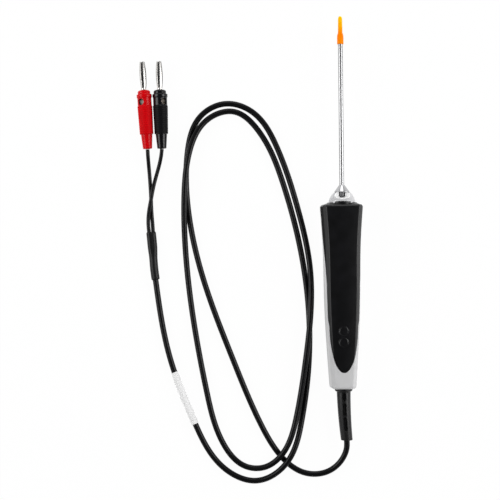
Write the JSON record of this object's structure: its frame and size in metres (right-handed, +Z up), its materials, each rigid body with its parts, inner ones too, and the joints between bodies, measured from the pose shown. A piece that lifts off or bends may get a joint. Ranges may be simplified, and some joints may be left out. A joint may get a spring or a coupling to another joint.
{
  "type": "resistance temperature probe",
  "caption": "Handheld resistance temperature probe: thin steel sheath with a capped tip, vented nose, two-shell handle, boot, long cable and two stacking plugs.",
  "frame": {"origin": "on the flat back of the handle, under the middle of the handle's length, which is also the floor it lies on", "axes": "+Y along the sheath towards the tip, +Z up out of the handle's front, +X to the right seen from above with the tip ahead"},
  "size_m": [0.1457, 0.3014, 0.0219],
  "materials": {
    "stainless_steel": "polished drawn steel",
    "nickel_plated_brass": "bright plated",
    "zinc_plated_steel": "dull plated",
    "orange_soft_cap": "translucent satin",
    "white_ceramic": "matt",
    "white_wire": "satin",
    "red_wire": "satin",
    "black_wire": "satin",
    "light_grey_plastic": "satin",
    "silver_grey_plastic": "satin, slightly metallic",
    "black_soft_plastic": "fine matt",
    "black_rubber": "satin",
    "black_jacket": "satin",
    "white_sleeve": "satin",
    "red_plug_plastic": "soft gloss",
    "black_plug_plastic": "soft gloss"
  },
  "bodies": {
    "root": {"tip_cap": "orange_soft_cap", "sheath_tube": "stainless_steel", "rtd_element": "white_ceramic", "element_wire_1": "white_wire", "element_wire_2": "white_wire", "sheath_cone": "stainless_steel", "cone_nut": "nickel_plated_brass", "nose_body": "silver_grey_plastic", "front_cover": "black_soft_plastic", "rear_shell": "light_grey_plastic", "housing_screw_1": "zinc_plated_steel", "housing_screw_2": "zinc_plated_steel", "cable_saddle": "light_grey_plastic", "saddle_screw_1": "zinc_plated_steel", "saddle_screw_2": "zinc_plated_steel", "splice_sleeve_1": "black_rubber", "splice_sleeve_2": "black_rubber", "cable_core_red": "red_wire", "cable_core_black": "black_wire", "cable_stub": "black_jacket", "cable_boot": "black_rubber", "cable": "black_jacket", "marker_sleeve": "white_sleeve", "y_sleeve": "black_rubber", "lead_red": "black_jacket", "lead_black": "black_jacket", "plug_red_sleeve": "red_plug_plastic", "plug_red_core": "nickel_plated_brass", "plug_red_wire_screw": "zinc_plated_steel", "plug_red_lead_end": "black_jacket", "plug_red_pin": "nickel_plated_brass", "plug_black_sleeve": "black_plug_plastic", "plug_black_core": "nickel_plated_brass", "plug_black_wire_screw": "zinc_plated_steel", "plug_black_lead_end": "black_jacket", "plug_black_pin": "nickel_plated_brass"}
  },
  "joints": []
}
